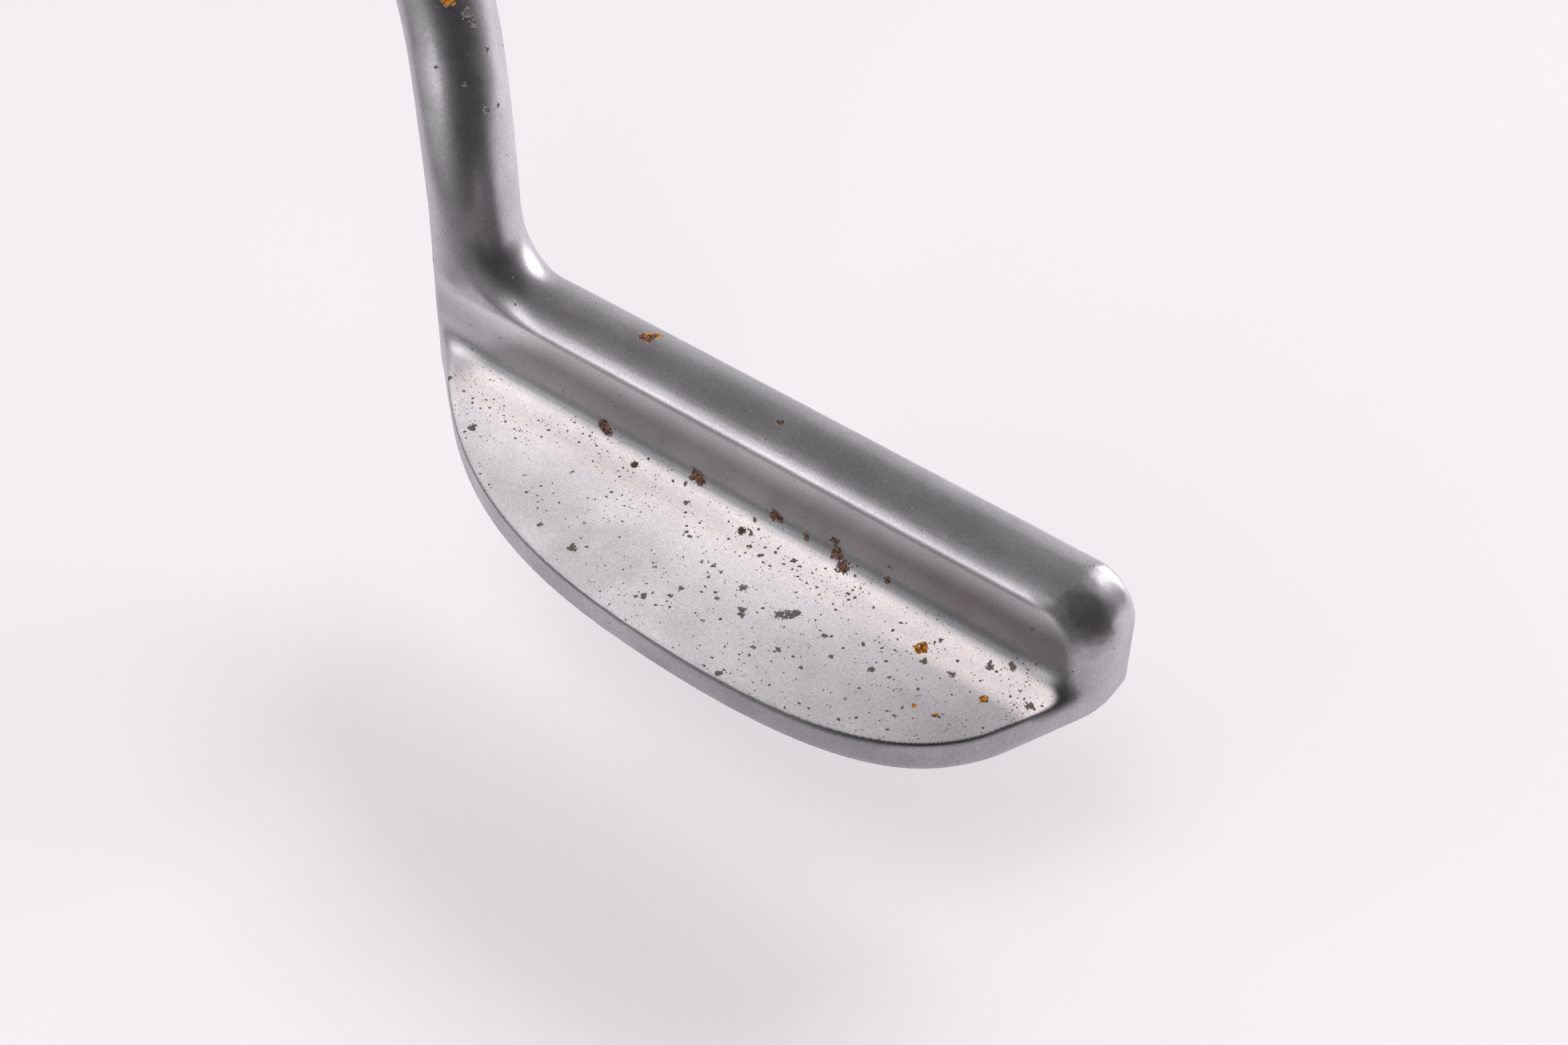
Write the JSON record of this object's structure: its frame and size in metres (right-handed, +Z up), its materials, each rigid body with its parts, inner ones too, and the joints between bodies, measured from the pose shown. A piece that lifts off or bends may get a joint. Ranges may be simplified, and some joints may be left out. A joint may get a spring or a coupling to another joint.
{
  "type": "putter",
  "caption": "Right-handed golf putter: forged blade head with a rear flange and a flow neck, stepped shaft, black ferrule and pistol grip with a flat front.",
  "frame": {"origin": "on the sole, under the ledge between the bar and the flat back wall, at the middle of the blade's length", "axes": "+X from heel to toe, +Y towards the target, out of the face, +Z up; the flange lies on the -Y side"},
  "size_m": [0.4013, 0.0511, 0.8433],
  "materials": {
    "satin_chrome": "worn satin chrome over steel, with pits and small rust blooms",
    "pin_steel": "dressed flush",
    "cured_glue": "cured",
    "shaft_chrome": "bright chrome plate",
    "weight_steel": "turned",
    "cork": "pressed cork",
    "ferrule_plastic": "buffed",
    "tape": "paper backed",
    "grip_rubber": "moulded, matt",
    "cap_rubber": "moulded, matt"
  },
  "bodies": {
    "root": {"head": "satin_chrome", "hosel_pin": "pin_steel", "hosel_epoxy": "cured_glue", "shaft": "shaft_chrome", "tip_weight": "weight_steel", "tip_cork": "cork", "ferrule": "ferrule_plastic", "grip_tape": "tape", "grip_sleeve": "grip_rubber", "grip_butt_cap": "cap_rubber"}
  },
  "joints": []
}
